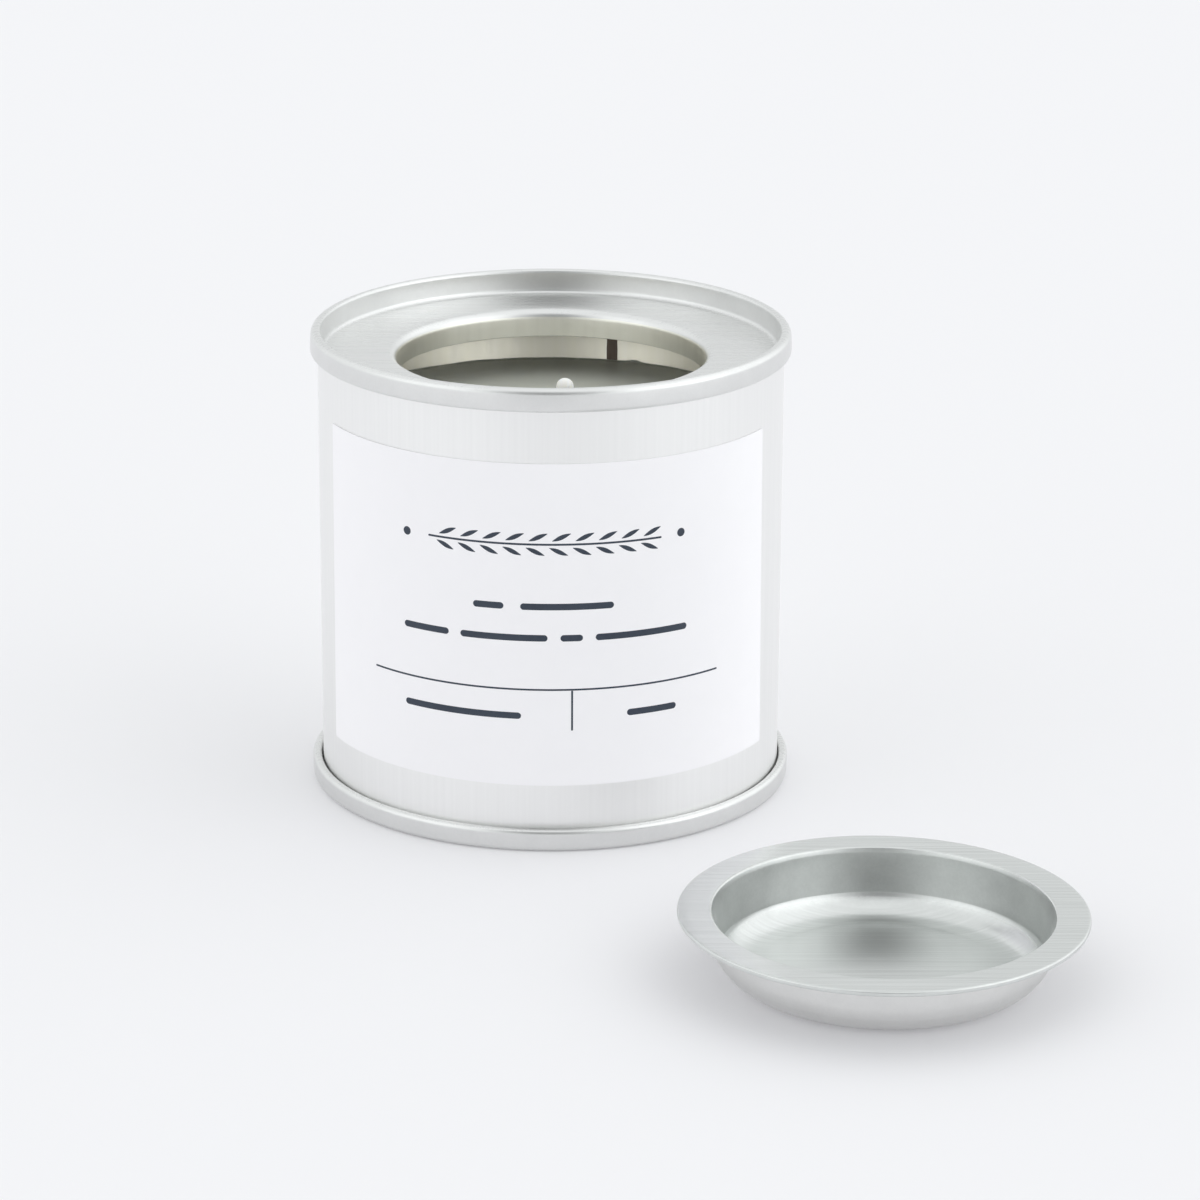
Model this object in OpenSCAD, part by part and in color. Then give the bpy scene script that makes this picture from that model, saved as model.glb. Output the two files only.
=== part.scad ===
// Round lever-lid candle tin: a tinplate can with a pressed ring and a loose
// friction lid, a soy wax fill with a wick, and a paper label round the front.
// The origin is the centre of the tin's base on the table, +Z is up, and the
// label faces -Y. The lid lies right side up on the table, in front and to the
// right. Every pressed part is a centre line, in radius and height, that is
// given the sheet's thickness and turned about the axis.

/* [Tin] */
// Height over both seams
tin_h = 60.3; // [50:0.1:80]
// Outside radius of the body wall
body_r = 30; // [28:0.1:34]
// Thickness of the tinplate
sheet_t = 0.22; // [0.2:0.01:0.24]

/* [Seams] */
// Outside radius of the top seam
top_seam_r = 30.95; // [30.9:0.01:31.1]
// Height of the top seam
top_seam_h = 2.95; // [2.7:0.05:3.2]
// Outside radius of the bottom seam
bottom_seam_r = 31.33; // [31:0.01:31.5]
// Height of the bottom seam
bottom_seam_h = 2.93; // [2.7:0.01:3.2]
// Outside radius of the top seam's rounded outer corner
top_crest_r = 0.8; // [0.6:0.05:0.85]
// Width of the flat on the bottom seam's crest, which the tin stands on
crest_flat = 0.35; // [0.25:0.05:0.35]

/* [Opening] */
// Radius of the opening that the lid plugs
neck_r = 19.95; // [18:0.05:22]
// Depth of the ring's panel below the crest
ring_depth = 3.3; // [3:0.1:3.8]
// Depth of the neck's lower edge below the crest
neck_depth = 6.64; // [6:0.02:7]
// Radius of the ring's rounded shoulder
shoulder_r = 1.1; // [0.8:0.1:1.5]

/* [Lid] */
// Overall height of the lid
lid_h = 8.1; // [7:0.1:9]
// Outside radius of the lid's flange
flange_r = 24.25; // [23:0.05:25]
// Height of the flange's folded edge
lid_edge_h = 0.65; // [0.6:0.01:0.8]
// Radial gap between the lid's plug and the opening
plug_gap = 0.07; // [0.03:0.01:0.15]
// Radius of the dish's rounded base
dish_fillet = 5; // [4:0.1:5.5]
// Where the lid lies, to the right of the tin's axis
lid_x = 39.5; // [36:0.1:60]
// Where the lid lies, in front of the tin's axis
lid_y = -69.8; // [-90:0.1:-62]

/* [Candle] */
// Height of the wax surface above the table
wax_top = 48; // [30:0.1:49]
// Diameter of the waxed wick
wick_d = 2.4; // [1.5:0.1:3]
// Height of the wick above the wax
wick_out = 5.3; // [4:0.1:5.4]
// How far the wick stands to the right of the tin's axis
wick_x = 1.8; // [-3:0.1:3]
// Diameter of the wick's metal foot
foot_d = 20; // [12:0.5:24]

/* [Label] */
// Width of the paper, measured round the body
label_w = 68.4; // [40:0.1:90]
// Height of the paper
label_h = 42.1; // [20:0.1:48]
// Height of the paper's lower edge above the table
label_z = 8.55; // [5:0.05:10]
// Turn of the paper's centre to the right of -Y, in degrees
label_turn = -1.3; // [-10:0.1:10]
// Thickness of the paper
label_t = 0.12; // [0.08:0.01:0.2]

/* [Hidden] */
turn_fn = 180;

// Seams: the end's curl wraps the body's hook, with a lining compound between
fold_gap = 0.03;
hook_gap = 0.13;
top_hook_depth = 0.56;
bottom_hook_depth = 0.38;
cover_hook_depth = 1.15;
wall_mid = body_r - sheet_t / 2;
chuck_mid = body_r - sheet_t - fold_gap - sheet_t / 2;
cover_mid = body_r + hook_gap + sheet_t / 2;
body_in = body_r - sheet_t;

// Side seam: a welded lap at the back, lacquered inside
side_seam_turn = 15.8;
lap_w = 0.9;
lap_t = 0.08;
lacquer_w = 1.5;
lacquer_t = 0.05;

// Ring and base panels
chuck_fillet = 0.75;
base_depth = 3.4;
base_fillet = 1;
base_step_r = 25;
base_step = 0.4;

// Lid: a short lead-in leans out from the plug's wall up to the flange
flange_bend = 0.25;
mouth_r = neck_r + 0.38;
mouth_lean = 30;
lead_in_r = 2.4;
hem_w = 1.6;
plug_mid = neck_r - plug_gap - sheet_t / 2;
plug_taper = 0.22;
crease_angle = 62;
dish_floor_r = plug_mid - plug_taper - dish_fillet * sin(crease_angle);

// Candle
fit_gap = 0.03;
panel_top = base_depth - base_step + sheet_t / 2;
step_top = base_depth + sheet_t / 2;
wax_r = body_in - lacquer_t - fit_gap;
meniscus = 0.2;
sticker_t = 0.4;
foot_t = 0.25;
collar_h = 5;
collar_t = 0.3;
sticker_z = panel_top + fit_gap;
foot_z = sticker_z + sticker_t;
wick_z = foot_z + foot_t;
wick_top = wax_top + wick_out;
label_gap = 0.02;
label_angle = label_w / (body_r + label_gap) * 180 / PI;

steel = [0.80, 0.80, 0.81];
steel_dark = [0.72, 0.73, 0.74];
paper = [0.96, 0.96, 0.98];
soy = [0.93, 0.91, 0.84];
cotton = [0.94, 0.93, 0.90];
brown = [0.33, 0.27, 0.24];
compound = [0.55, 0.57, 0.58];

// Points on an arc about [r, z], with angles from +r towards +z
function arc(r, z, rad, from, to, n = 8) = [
    for (i = [0:n]) let (a = from + (to - from) * i / n)
        [r + rad * cos(a), z + rad * sin(a)]];

// The unit normal on the left of a step from p to q
function left_of(p, q) = let (d = (q - p) / norm(q - p)) [-d[1], d[0]];

// A path moved to its left by d, with mitred corners
function moved(path, d) = let (last = len(path) - 1) [
    for (i = [0:last])
        let (a = left_of(path[max(i - 1, 0)], path[max(i, 1)]),
            b = left_of(path[min(i, last - 1)], path[min(i + 1, last)]),
            m = a + b)
        path[i] + m * (2 * d / (m * m))];

function reversed(path) = [for (i = [len(path) - 1:-1:0]) path[i]];

// Heights for a part that hangs from the crest, given as depths below it
function from_top(path) = [for (p = path) [p[0], tin_h - p[1]]];

// A pressed part: sheet of the given centre line, turned about the axis
module pressed(path) {
    rotate_extrude($fn = turn_fn)
        polygon(concat(moved(path, sheet_t / 2),
            reversed(moved(path, -sheet_t / 2))));
}

// A plain ring or disc of rectangular section
module ring(r_in, r_out, z, h) {
    translate([0, 0, z])
        rotate_extrude($fn = turn_fn)
            translate([r_in, 0])
                square([r_out - r_in, h]);
}

// A strip of a cylinder's wall, centred on -Y and turned to the right
module wall_strip(r, t, w, z, h, turn) {
    angle = w / r * 180 / PI;
    rotate([0, 0, turn - 90 - angle / 2])
        rotate_extrude(angle = angle, $fn = turn_fn)
            translate([r, z])
                square([t, h]);
}

// The end's share of a double seam: cover hook, seaming wall, crest
function end_seam(seam_r, seam_h, corner_r, flat) =
    let (outer = seam_r - sheet_t / 2,
        hook_bend = (outer - cover_mid) / 2,
        out_bend = corner_r - sheet_t / 2,
        in_bend = outer - out_bend - flat - chuck_mid)
    concat([[cover_mid, cover_hook_depth]],
        arc(outer - hook_bend, seam_h - sheet_t / 2 - hook_bend, hook_bend,
            180, 0),
        arc(outer - out_bend, sheet_t / 2 + out_bend, out_bend, 0, -90),
        arc(chuck_mid + in_bend, sheet_t / 2 + in_bend, in_bend, -90, -180));

function top_end_seam() =
    end_seam(top_seam_r, top_seam_h, top_crest_r, 0.05);
function bottom_end_seam() =
    end_seam(bottom_seam_r, bottom_seam_h,
        (bottom_seam_r + sheet_t / 2 - chuck_mid - crest_flat) / 2, crest_flat);

// The body's share: its wall turned out and down into a hook
function hook_mid(seam_r) = seam_r - 1.5 * sheet_t - fold_gap;
function hook_bend(seam_r) = (hook_mid(seam_r) - wall_mid - crest_flat) / 2;
function body_seam(seam_r, seam_h, hook_depth) =
    let (mid = hook_mid(seam_r),
        bend = hook_bend(seam_r),
        high = hook_depth + bend,
        end_bend = (seam_r - sheet_t / 2 - cover_mid) / 2,
        low = seam_h - sheet_t / 2 - end_bend - 0.05)
    concat(arc(wall_mid + bend, high, bend, -180, -90),
        arc(mid - bend, high, bend, -90, 0),
        [[mid, low]]);

// The lining compound under the body's hook, in depths from the crest
module seam_fill(seam_r, hook_depth, mirrored) {
    high = hook_depth + hook_bend(seam_r) + fold_gap;
    low = cover_hook_depth - fold_gap;
    ring(body_r + fold_gap, hook_mid(seam_r) - sheet_t / 2 - fold_gap,
        mirrored ? high : tin_h - low, low - high);
}

// Rolled wall with a hook at each end and a welded lap at the back
module body_shell() {
    color(steel) {
        pressed(concat(
            reversed(body_seam(bottom_seam_r, bottom_seam_h,
                bottom_hook_depth)),
            from_top(body_seam(top_seam_r, top_seam_h, top_hook_depth))));
        wall_strip(body_r - sheet_t / 4, lap_t + sheet_t / 4, lap_w,
            bottom_seam_h + 0.4, tin_h - top_seam_h - bottom_seam_h - 0.8,
            180 - side_seam_turn);
    }
}

// Brown lacquer over the weld, inside the wall and clear of both ends
module side_seam_lacquer() {
    z = base_depth + base_fillet;
    color(brown)
        wall_strip(body_in - lacquer_t - 0.005, lacquer_t, lacquer_w, z,
            tin_h - ring_depth - z - 0.5, 180 - side_seam_turn);
}

// Ring: seam, countersunk panel, rounded shoulder and the neck
module top_ring() {
    neck_mid = neck_r + sheet_t / 2;
    color(steel)
        pressed(from_top(concat(
            top_end_seam(),
            arc(chuck_mid - chuck_fillet, ring_depth - chuck_fillet,
                chuck_fillet, 0, 90),
            arc(neck_mid + shoulder_r, ring_depth + shoulder_r,
                shoulder_r, -90, -180),
            [[neck_mid, neck_depth]])));
}

// Base: seam, countersunk panel and a shallow stiffening step
module bottom_end() {
    color(steel_dark)
        pressed(concat(
            bottom_end_seam(),
            arc(chuck_mid - base_fillet, base_depth - base_fillet,
                base_fillet, 0, 90),
            [[base_step_r, base_depth],
                [base_step_r - 1.5 * base_step, base_depth - base_step],
                [0, base_depth - base_step]]));
}

module top_seam_compound() {
    color(compound) seam_fill(top_seam_r, top_hook_depth, false);
}

module bottom_seam_compound() {
    color(compound) seam_fill(bottom_seam_r, bottom_hook_depth, true);
}

// Paper label, wrapped round the front of the body
module label() {
    color(paper)
        wall_strip(body_r + label_gap, label_t, label_w, label_z, label_h,
            label_turn);
}

// The wick's shape above its foot, swelled by a gap for the wax's hole
module wick_form(gap) {
    r = wick_d / 2 + gap;
    translate([wick_x, 0, 0])
        rotate_extrude($fn = 48)
            polygon(concat([[0, wick_z - gap], [r, wick_z - gap]],
                arc(0, wick_top + gap - r, r, 0, 90)));
}

module foot_form(gap) {
    r = wick_d / 2 + collar_t + 2 * gap;
    translate([wick_x, 0, 0]) {
        translate([0, 0, foot_z - gap])
            cylinder(r = foot_d / 2 + gap, h = foot_t + 2 * gap, $fn = 96);
        translate([0, 0, foot_z - gap])
            cylinder(r = r, h = collar_h + 2 * gap, $fn = 48);
    }
}

// Soy wax: fills the tin above the base, drawn up a little at the wall
module wax() {
    edge = wax_r - meniscus;
    color(soy)
        difference() {
            rotate_extrude($fn = turn_fn)
                polygon(concat(
                    [[0, panel_top + fit_gap],
                        [base_step_r - 2 * base_step, panel_top + fit_gap],
                        [base_step_r, step_top + fit_gap],
                        [chuck_mid - base_fillet, step_top + fit_gap],
                        [wax_r, step_top + base_fillet]],
                    reversed(arc(edge, wax_top + meniscus, meniscus, -90, 0)),
                    [[0, wax_top]]));
            wick_form(fit_gap);
            foot_form(fit_gap);
            translate([wick_x, 0, panel_top])
                cylinder(r = foot_d / 2 + fit_gap, h = sticker_t + 2 * fit_gap,
                    $fn = 96);
        }
}

// Braided cotton wick, coated in wax, with a rounded tip
module wick() {
    color(cotton) wick_form(0);
}

// Metal foot with a crimped collar that holds the wick upright
module wick_sustainer() {
    color(steel_dark)
        difference() {
            foot_form(0);
            translate([wick_x, 0, wick_z])
                cylinder(r = wick_d / 2 + fit_gap / 2, h = collar_h, $fn = 48);
        }
}

// Adhesive pad that fixes the foot to the base
module wick_sticker() {
    color(paper)
        translate([wick_x, 0, sticker_z])
            cylinder(r = foot_d / 2 - 0.5, h = sticker_t - fit_gap, $fn = 96);
}

// One-piece lid: folded edge, flange, lead-in, tapered plug and rounded dish
module lid() {
    edge_bend = (lid_edge_h - sheet_t) / 2;
    edge_mid = flange_r - sheet_t / 2 - edge_bend;
    flange_mid = lid_h - sheet_t / 2;
    lead_in_z = flange_mid - lead_in_r * sin(mouth_lean)
        - (mouth_r - plug_mid - lead_in_r * (1 - cos(mouth_lean)))
            / tan(mouth_lean);
    color(steel)
        translate([lid_x, lid_y, 0])
            pressed(concat(
                [[edge_mid - hem_w, flange_mid - 2 * edge_bend]],
                arc(edge_mid, flange_mid - edge_bend, edge_bend, -90, 90),
                arc(mouth_r + flange_bend * tan((90 - mouth_lean) / 2),
                    flange_mid - flange_bend, flange_bend,
                    90, 180 - mouth_lean),
                arc(plug_mid + lead_in_r, lead_in_z, lead_in_r,
                    180 - mouth_lean, 180),
                arc(dish_floor_r, sheet_t / 2 + dish_fillet, dish_fillet,
                    crease_angle - 90, -90),
                [[0, sheet_t / 2]]));
}

body_shell();
side_seam_lacquer();
top_ring();
bottom_end();
top_seam_compound();
bottom_seam_compound();
label();
wax();
wick();
wick_sustainer();
wick_sticker();
lid();
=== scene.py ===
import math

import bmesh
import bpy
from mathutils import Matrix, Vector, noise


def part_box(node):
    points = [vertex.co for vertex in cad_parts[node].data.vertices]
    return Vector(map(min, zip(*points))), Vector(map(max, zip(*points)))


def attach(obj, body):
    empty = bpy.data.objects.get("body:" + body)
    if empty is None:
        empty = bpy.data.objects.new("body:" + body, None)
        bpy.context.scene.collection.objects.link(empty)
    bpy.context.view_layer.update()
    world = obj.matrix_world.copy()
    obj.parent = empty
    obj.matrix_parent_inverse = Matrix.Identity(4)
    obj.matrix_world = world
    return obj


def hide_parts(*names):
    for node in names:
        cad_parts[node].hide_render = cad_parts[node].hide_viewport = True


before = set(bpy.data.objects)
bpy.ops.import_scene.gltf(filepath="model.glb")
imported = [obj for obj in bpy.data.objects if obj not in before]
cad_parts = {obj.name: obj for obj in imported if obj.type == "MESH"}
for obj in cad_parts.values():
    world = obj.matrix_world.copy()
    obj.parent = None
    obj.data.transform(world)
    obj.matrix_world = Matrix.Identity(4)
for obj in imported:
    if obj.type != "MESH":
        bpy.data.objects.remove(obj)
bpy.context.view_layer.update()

# Looks of a round lever-lid candle tin with its lid lying beside it. The packed
# solids are the fixed frame. Each pressed part is drawn again as a fine lathe mesh
# on the same centre line, so that its bends, hems and seams read as thin sheet.
# Lengths are in metres; the tin stands on z = 0 with its label towards -Y.

MM = 0.001

# Tin and seams. A "mid" radius is that of the sheet's centre line.
SHEET = 0.22 * MM
CUT_EASE = 0.3
BODY_R = 30 * MM
TIN_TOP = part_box("top_ring")[1].z
TOP_SEAM_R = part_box("top_ring")[1].x
TOP_SEAM_H = 2.95 * MM
BASE_SEAM_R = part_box("bottom_end")[1].x
BASE_SEAM_H = 2.93 * MM
TOP_CREST_R = 0.8 * MM
TOP_CREST_FLAT = 0.05 * MM
TOP_LEAN = 0.08 * MM
BASE_LEAN = 0.04 * MM
CREST_FLAT = 0.35 * MM
FOLD_GAP = 0.03 * MM
HOOK_PLAY = 4 * FOLD_GAP
HOOK_GAP = 0.13 * MM
TOP_HOOK_DEPTH = 0.56 * MM
BASE_HOOK_DEPTH = 0.38 * MM
COVER_HOOK_DEPTH = 1.15 * MM
WALL_MID = BODY_R - SHEET / 2
CHUCK_MID = BODY_R - 1.5 * SHEET - FOLD_GAP
COVER_MID = BODY_R + HOOK_GAP + SHEET / 2

# Ring, base panel and side seam. The seam lies round from the back by its turn, in
# degrees, and faces that look inward by more than NECK_FACING take the neck's finish:
# a brighter, cream-tinted copy of the tin as painted light.
RING_DEPTH = 3.3 * MM
NECK_DEPTH = TIN_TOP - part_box("top_ring")[0].z
NECK_MID = 19.95 * MM + SHEET / 2
SHOULDER = 1.1 * MM
CHUCK_FILLET = 0.75 * MM
BASE_DEPTH = 3.4 * MM
BASE_FILLET = 1 * MM
BASE_STEP_R = 25 * MM
BASE_STEP = 0.4 * MM
NECK_FACING = 0.94
SIDE_SEAM_TURN = 15.8
WELD_WIDTH = 0.8 * MM
WELD_RISE = 0.05 * MM
WELD_MARGIN = 0.2 * MM
WELD_CROWN = (-1, -0.6, 0, 0.6, 1)
LACQUER_HALF = 0.75 * MM
LACQUER_COAT = 0.05 * MM
LACQUER_GAP = 0.005 * MM
LACQUER_RAGGED = 0.06 * MM
LACQUER_WAVE = MM / 0.6
LACQUER_STEPS = 60

# Lid. Its mouth's lean and its dish's crease are in degrees, and faces of the plug that
# look outward or down by more than UNDER_FACING take the underside's finish: a paler
# copy of the tin as painted light.
LID_LOW, LID_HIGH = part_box("lid")
LID_CENTRE = (LID_LOW + LID_HIGH) / 2
LID_H = LID_HIGH.z
FLANGE_R = (LID_HIGH.x - LID_LOW.x) / 2
LID_EDGE_H = 0.65 * MM
FLANGE_BEND = 0.25 * MM
MOUTH_R = 20.33 * MM
MOUTH_LEAN = 30
LEAD_IN_R = 2.4 * MM
HEM = 1.6 * MM
PLUG_MID = 19.77 * MM
PLUG_TAPER = 0.22 * MM
DISH_FILLET = 5 * MM
DISH_CREASE = 62
DISH_STEPS = 16
UNDER_FACING = 0.3

# Candle
WAX_LOW, WAX_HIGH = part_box("wax")
WAX_R = WAX_HIGH.x
WAX_TOP = 48 * MM
WAX_RISE = WAX_HIGH.z - WAX_TOP
WAX_RIPPLE = 0.05 * MM
WAX_RIPPLE_SIZE = 4 * MM
WAX_EDGE_DROP = 0.25 * MM
WAX_EDGE_WAVES = 6
WAX_RUN_TURN = 90 - 22
WAX_RUN_WIDTH = 0.8 * MM
WAX_RUN_RISE = 0.28 * MM
WAX_SIDE_STEP = 3 * MM
WAX_FACE_STEP = 1 * MM
WICK_LOW, WICK_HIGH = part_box("wick")
WICK_CENTRE = (WICK_LOW + WICK_HIGH) / 2
WICK_R = (WICK_HIGH.x - WICK_LOW.x) / 2
WICK_SEGMENTS = 64
WICK_STEP = 0.25 * MM
WICK_TIP_STEPS = 14
BRAID_PITCH = 2.2 * MM
BRAID_STRANDS = 4
BRAID_DEPTH = 0.05
LUMP_DEPTH = 0.03
LUMP_SIZE = 0.7 * MM
WICK_FILLET = 0.6 * MM
WICK_OVERLAP = 0.8

# Label
LABEL_LOW, LABEL_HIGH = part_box("label")
LABEL_R = BODY_R + 0.02 * MM
LABEL_LEFT = math.radians(-66.6) * LABEL_R
LABEL_RIGHT = math.radians(64.1) * LABEL_R
LABEL_SKEW_LEFT = 0.3 * MM
LABEL_SKEW_RIGHT = 0.7 * MM
LABEL_COLUMNS = 120
PAPER = 0.12 * MM
PRINT = 0.008 * MM

# Print, in millimetres round the label from its middle and up from the table
SPRIG_LEFT = -15.7
SPRIG_RIGHT = 14.4
SPRIG_Z = 40.3
STEM = 0.26
LEAVES = 10
LEAF_LENGTH = 2.3
LEAF_WIDTH = 0.62
LEAF_RISE = 0.95
LEAF_FOOT = 0.45
LEAF_STAGGER = 0.35
LEAF_BLUNT = 0.03
FIRST_LEAF = 1.2
LAST_LEAF = 2.8
DOT = 1.1
DOTS = ((-18.9, 40.3), (17.2, 40.5))
BAR = 0.85
BAR_ROWS = ((32.2, ((-9.6, -5.7), (-3.6, 8.1))),
            (28.1, ((-19.4, -12.9), (-11.3, -0.2), (1.4, 4.2), (5.8, 18.2))),
            (17.8, ((-19.3, -3.5), (9.9, 16.7))))
RULE = 0.24
RULE_LEFT = -24.5
RULE_RIGHT = 23.35
RULE_Z = 21.3
DIVIDER = 2.87
DIVIDER_LOW = 15.9
DIVIDER_GAP = 0.02

# Meshes
SEGMENTS = 256
BEND_STEPS = 10
LONGEST_STEP = 1.6 * MM
ON_AXIS = 1e-7
SMOOTH_BELOW = math.radians(38)


# ---------------------------------------------------------------- outlines

def arc(r, z, radius, start, end, steps=BEND_STEPS):
    """Points on an arc about (r, z), with angles in degrees from +r towards +z."""
    angles = [math.radians(start + (end - start) * i / steps) for i in range(steps + 1)]
    return [Vector((r + radius * math.cos(a), z + radius * math.sin(a))) for a in angles]


def left_of(start, end):
    """The unit normal on the left of a step."""
    step = (end - start).normalized()
    return Vector((-step.y, step.x))


def moved(path, distance):
    """A path moved to its left, with mitred corners."""
    sides = [left_of(a, b) for a, b in zip(path, path[1:])]
    corners = zip(path, [sides[0]] + sides, sides + [sides[-1]])
    return [p + (a + b) * (2 * distance / (a + b).length_squared) for p, a, b in corners]


def filled(path, longest=LONGEST_STEP):
    """A path with its long straight runs cut into even steps."""
    out = [path[0]]
    for a, b in zip(path, path[1:]):
        cuts = max(1, math.ceil((b - a).length / longest))
        out += [a.lerp(b, i / cuts) for i in range(1, cuts + 1)]
    return out


def sheet_section(path):
    """The closed section of sheet on a centre line, with its cut edges eased."""
    path = filled(path)
    left = moved(path, SHEET / 2)
    right = moved(path, -SHEET / 2)[::-1]
    first, last = path[0], path[-1]
    out = left
    if last.x > ON_AXIS:
        out = out + [last + (last - path[-2]).normalized() * SHEET * CUT_EASE]
    out = out + right
    if first.x > ON_AXIS:
        out = out + [first + (first - path[1]).normalized() * SHEET * CUT_EASE]
    return out


def from_top(path):
    """Heights for a path that is given as depths below the tin's crest."""
    return [Vector((p.x, TIN_TOP - p.y)) for p in path]


def end_seam(seam_r, seam_h, corner_r, flat, lean):
    """An end's share of a double seam: cover hook, seaming wall and crest.
    The seaming wall leans in by a little towards the crest, in one shallow curve."""
    outer = seam_r - SHEET / 2
    crest_r = outer - lean
    hook = (outer - COVER_MID) / 2
    corner = corner_r - SHEET / 2
    inner = crest_r - corner - flat - CHUCK_MID
    low = seam_h - SHEET / 2 - hook
    high = SHEET / 2 + corner
    wall = []
    for i in range(1, BEND_STEPS):
        share = i / BEND_STEPS
        wall.append(Vector((outer - lean * share ** 2, low + (high - low) * share)))
    return ([Vector((COVER_MID, COVER_HOOK_DEPTH))]
            + arc(outer - hook, low, hook, 180, 0)
            + wall
            + arc(crest_r - corner, high, corner, 0, -90)
            + arc(CHUCK_MID + inner, SHEET / 2 + inner, inner, -90, -180))


def body_seam(seam_r, seam_h, hook_depth):
    """The body's share of a double seam: its wall turned out and down."""
    hook_mid = seam_r - 1.5 * SHEET - HOOK_PLAY
    bend = (hook_mid - WALL_MID - CREST_FLAT) / 2
    high = hook_depth + bend
    low = seam_h - SHEET - (seam_r - SHEET / 2 - COVER_MID) / 2
    return (arc(WALL_MID + bend, high, bend, -180, -90)
            + arc(hook_mid - bend, high, bend, -90, 0)
            + [Vector((hook_mid, low))])


# ------------------------------------------------------------------ meshes

def link(name, mesh):
    """Turns a bmesh into an object, smooth except across sharp corners."""
    bmesh.ops.recalc_face_normals(mesh, faces=mesh.faces)
    data = bpy.data.meshes.new(name)
    mesh.to_mesh(data)
    mesh.free()
    data.shade_smooth()
    data.set_sharp_from_angle(angle=SMOOTH_BELOW)
    piece = bpy.data.objects.new(name, data)
    bpy.context.scene.collection.objects.link(piece)
    return piece


def lathe(section, centre=(0, 0), turns=SEGMENTS):
    """A bmesh of a closed section of (radius, height) points, turned about its axis."""
    mesh = bmesh.new()
    angles = [2 * math.pi * i / turns for i in range(turns)]
    rings = []
    for r, z in section:
        around = angles if r > ON_AXIS else angles[:1]
        rings.append([mesh.verts.new((centre[0] + r * math.cos(a),
                                      centre[1] + r * math.sin(a), z)) for a in around])
    for ring, after in zip(rings, rings[1:] + rings[:1]):
        for i in range(turns):
            j = (i + 1) % turns
            corners = [ring[i % len(ring)], ring[j % len(ring)],
                       after[j % len(after)], after[i % len(after)]]
            corners = list(dict.fromkeys(corners))
            if len(corners) > 2:
                mesh.faces.new(corners)
    return mesh


def wrap(along, height, radius):
    """A point on the body: distance round the label from -Y, height and radius."""
    angle = along / LABEL_R
    return Vector((radius * math.sin(angle), -radius * math.cos(angle), height))


def add_strip(mesh, pairs, inner, outer):
    """Adds a thin solid wrapped round the body, from pairs of low and high points."""
    columns = []
    for low, high in pairs:
        corners = ((low, inner), (low, outer), (high, outer), (high, inner))
        columns.append([mesh.verts.new(wrap(p[0], p[1], r)) for p, r in corners])
    for a, b in zip(columns, columns[1:]):
        for i in range(4):
            j = (i + 1) % 4
            mesh.faces.new((a[i], b[i], b[j], a[j]))
    mesh.faces.new(columns[0])
    mesh.faces.new(columns[-1][::-1])


def lens(left, right, height, middle, tilt=0.0, steps=12):
    """Pairs for a pointed leaf that lies between two distances round the label."""
    pairs = []
    for i in range(steps + 1):
        share = i / steps
        along = left + (right - left) * share
        half = height / 2 * math.sin(math.pi * (LEAF_BLUNT + (1 - 2 * LEAF_BLUNT) * share))
        at = middle + tilt * share
        pairs.append(((along, at - half), (along, at + half)))
    return pairs


def pill(left, right, height, middle, steps=8):
    """Pairs for a bar with round ends."""
    radius = height / 2
    quarter = [math.radians(90 * (i + 0.5) / steps) for i in range(steps)]
    shape = [(left + radius * (1 - math.cos(a)), radius * math.sin(a)) for a in quarter]
    spans = max(1, round((right - left - height) / MM))
    for i in range(spans + 1):
        shape.append((left + radius + (right - left - height) * i / spans, radius))
    shape += [(right - radius * (1 - math.cos(a)), radius * math.sin(a))
              for a in quarter[::-1]]
    return [((along, middle - half), (along, middle + half)) for along, half in shape]


# --------------------------------------------------------------- materials

# Each pair of fades is how level a face is, from 0 on a wall to 1 where it lies flat.
GRAIN_FADES = (0.6, 0.97)
GLOSS_FADES = (0.50, 0.68)
STEEP_FADES = (0.42, 0.62)
UNEVEN = 0.12
CLOUD_SCALE = 70.0
CLOUD_AMOUNT = 0.22
TIN_RELIEF = 0.02 * MM
PAPER_RELIEF = 0.01 * MM
WAX_RELIEF = 0.05 * MM


def node_group(name, inputs, outputs):
    """An empty shader node group with named sockets."""
    group = bpy.data.node_groups.new(name, "ShaderNodeTree")
    for label, kind, value in inputs:
        socket = group.interface.new_socket(label, in_out="INPUT", socket_type=kind)
        if value is not None:
            socket.default_value = value
    for label, kind in outputs:
        group.interface.new_socket(label, in_out="OUTPUT", socket_type=kind)
    return group, group.nodes.new("NodeGroupInput"), group.nodes.new("NodeGroupOutput")


def add(tree, kind, links=(), values=None, **properties):
    """Adds a node, sets its properties and its sockets' values, and links its inputs."""
    made = tree.nodes.new(kind)
    for key, value in properties.items():
        setattr(made, key, value)
    for socket, value in (values or {}).items():
        made.inputs[socket].default_value = value
    for socket, source in links:
        tree.links.new(source, made.inputs[socket])
    return made


def maths(tree, operation, *terms):
    """One step of arithmetic on sockets and plain numbers."""
    made = add(tree, "ShaderNodeMath", operation=operation)
    for i, term in enumerate(terms):
        if isinstance(term, float):
            made.inputs[i].default_value = term
        else:
            tree.links.new(term, made.inputs[i])
    return made.outputs[0]


def ramp(tree, source, low, high, to_low, to_high):
    """Maps a value from one range to another, clamped."""
    ends = dict(enumerate((low, high, to_low, to_high), start=1))
    return add(tree, "ShaderNodeMapRange", [(0, source)], ends, clamp=True).outputs[0]


def noise_layer(tree, vector, scale, detail, roughness=0.5):
    """A noise over a vector, with its scale as a number or a socket."""
    made = add(tree, "ShaderNodeTexNoise", [("Vector", vector)],
               {"Detail": detail, "Roughness": roughness})
    if isinstance(scale, float):
        made.inputs["Scale"].default_value = scale
    else:
        tree.links.new(scale, made.inputs["Scale"])
    return made.outputs[0]


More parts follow.
